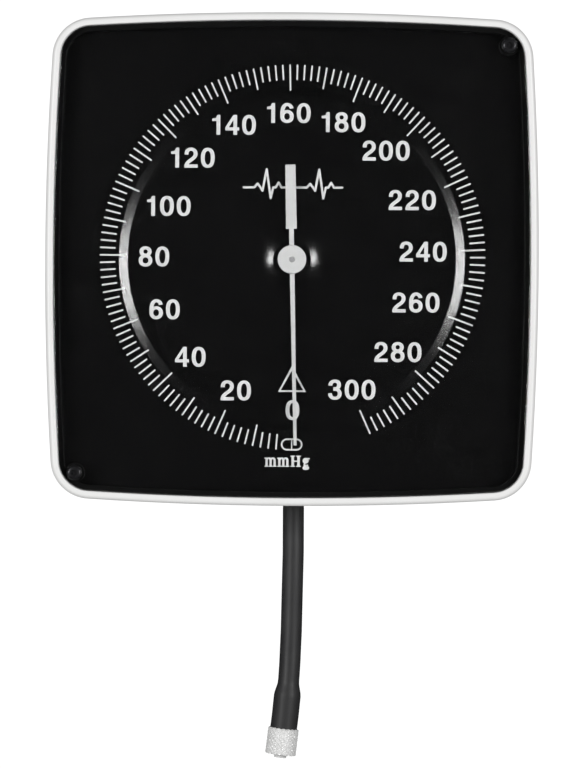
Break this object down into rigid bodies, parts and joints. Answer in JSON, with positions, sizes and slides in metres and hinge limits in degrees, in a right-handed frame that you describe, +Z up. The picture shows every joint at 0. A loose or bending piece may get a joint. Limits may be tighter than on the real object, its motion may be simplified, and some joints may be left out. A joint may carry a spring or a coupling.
{
  "type": "wall aneroid blood pressure gauge",
  "caption": "Square wall-mounted aneroid blood pressure gauge head with a black dial, white pointer and a short hose stub with a luer lock connector.",
  "frame": {"origin": "centre of the four threaded inserts, on the flat rear face that meets the wall", "axes": "the dial looks along -Y, +Y points into the wall, +Z is up, +X is to the right of someone who reads the dial"},
  "size_m": [0.1544, 0.052, 0.236],
  "materials": {
    "case_white": "satin moulded ABS",
    "window_clear": "clear polished acrylic",
    "dial_black": "gloss black",
    "frame_black": "satin black",
    "print_white": "screen-printed ink",
    "black_screw": "black oxide",
    "zinc_screw": "bright zinc",
    "brass": "machined",
    "pointer_white": "satin white paint",
    "hairspring_bronze": "polished strip",
    "steel": "ground",
    "plate_brass": "stamped sheet",
    "capsule_bronze": "pressed sheet",
    "tube_clear": "soft silicone",
    "nickel": "bright nickel",
    "washer_rubber": "moulded",
    "hose_rubber": "satin extruded"
  },
  "bodies": {
    "case": {"front_bezel": "case_white", "rear_case": "case_white", "window_panel": "window_clear", "spacer_frame": "frame_black", "dial_plate": "dial_black", "dial_scale_marks": "print_white", "face_screws": "black_screw", "case_screws": "zinc_screw", "rear_inserts": "brass", "pivot_bushes": "brass", "hairspring_stud": "brass", "rocker_brackets": "steel", "bracket_screws": "zinc_screw", "capsule_rear_disc": "capsule_bronze", "capsule_bush": "brass", "pressure_socket": "brass", "movement_base_plate": "steel", "movement_mid_plate": "plate_brass", "movement_front_plate": "plate_brass", "rear_pillars": "brass", "front_pillars": "brass", "pillar_screws": "zinc_screw", "base_plate_screws": "zinc_screw", "inner_tube": "tube_clear", "hose_nipple": "nickel", "nipple_nut": "nickel", "nipple_washer": "washer_rubber", "hose": "hose_rubber", "luer_body": "nickel"},
    "pointer": {"pointer": "pointer_white", "pointer_hub": "pointer_white", "pinion_arbor": "steel", "hairspring": "hairspring_bronze", "hairspring_collet": "brass"},
    "sector": {"sector_gear": "brass", "sector_shaft": "steel", "sector_drive_pin": "steel"},
    "rocker": {"rocker_shaft": "steel", "rocker_input_lever": "brass", "rocker_output_lever": "brass"},
    "capsule": {"capsule_front_disc": "capsule_bronze", "capsule_boss": "brass"},
    "lock_ring": {"luer_collar": "nickel"}
  },
  "joints": [
    {"name": "pointer_spin", "type": "hinge", "parent": "case", "child": "pointer", "pos_m": [0, -0.04, 0], "axis": [0, 1, 0], "range_deg": [-2, 340], "stiffness_Nm_per_rad": 0.0019, "deforming": ["hairspring"]},
    {"name": "sector_swing", "type": "hinge", "parent": "case", "child": "sector", "pos_m": [0.0068, -0.036, -0.01955], "axis": [0, 1, 0], "range_deg": [-32.6, 0.4]},
    {"name": "rocker_swing", "type": "hinge", "parent": "case", "child": "rocker", "pos_m": [0.0055, -0.026, 0], "axis": [0, 0, 1], "range_deg": [-0.3, 25.3]},
    {"name": "capsule_travel", "type": "slide", "parent": "case", "child": "capsule", "axis": [0, -1, 0], "range_m": [-0.00002, 0.00241], "deforming": ["capsule_front_disc"]},
    {"name": "lock_ring_spin", "type": "hinge", "parent": "case", "child": "lock_ring", "pos_m": [-0.002, -0.018, -0.15], "axis": [-0.1191, 0, -0.9929], "continuous": true}
  ],
  "couplings": [
    {"joint": "sector_swing", "follows": "pointer_spin", "ratio": -0.095238},
    {"joint": "rocker_swing", "follows": "pointer_spin", "ratio": 0.074074},
    {"joint": "capsule_travel", "follows": "pointer_spin", "m_per_rad": 0.0004041}
  ]
}
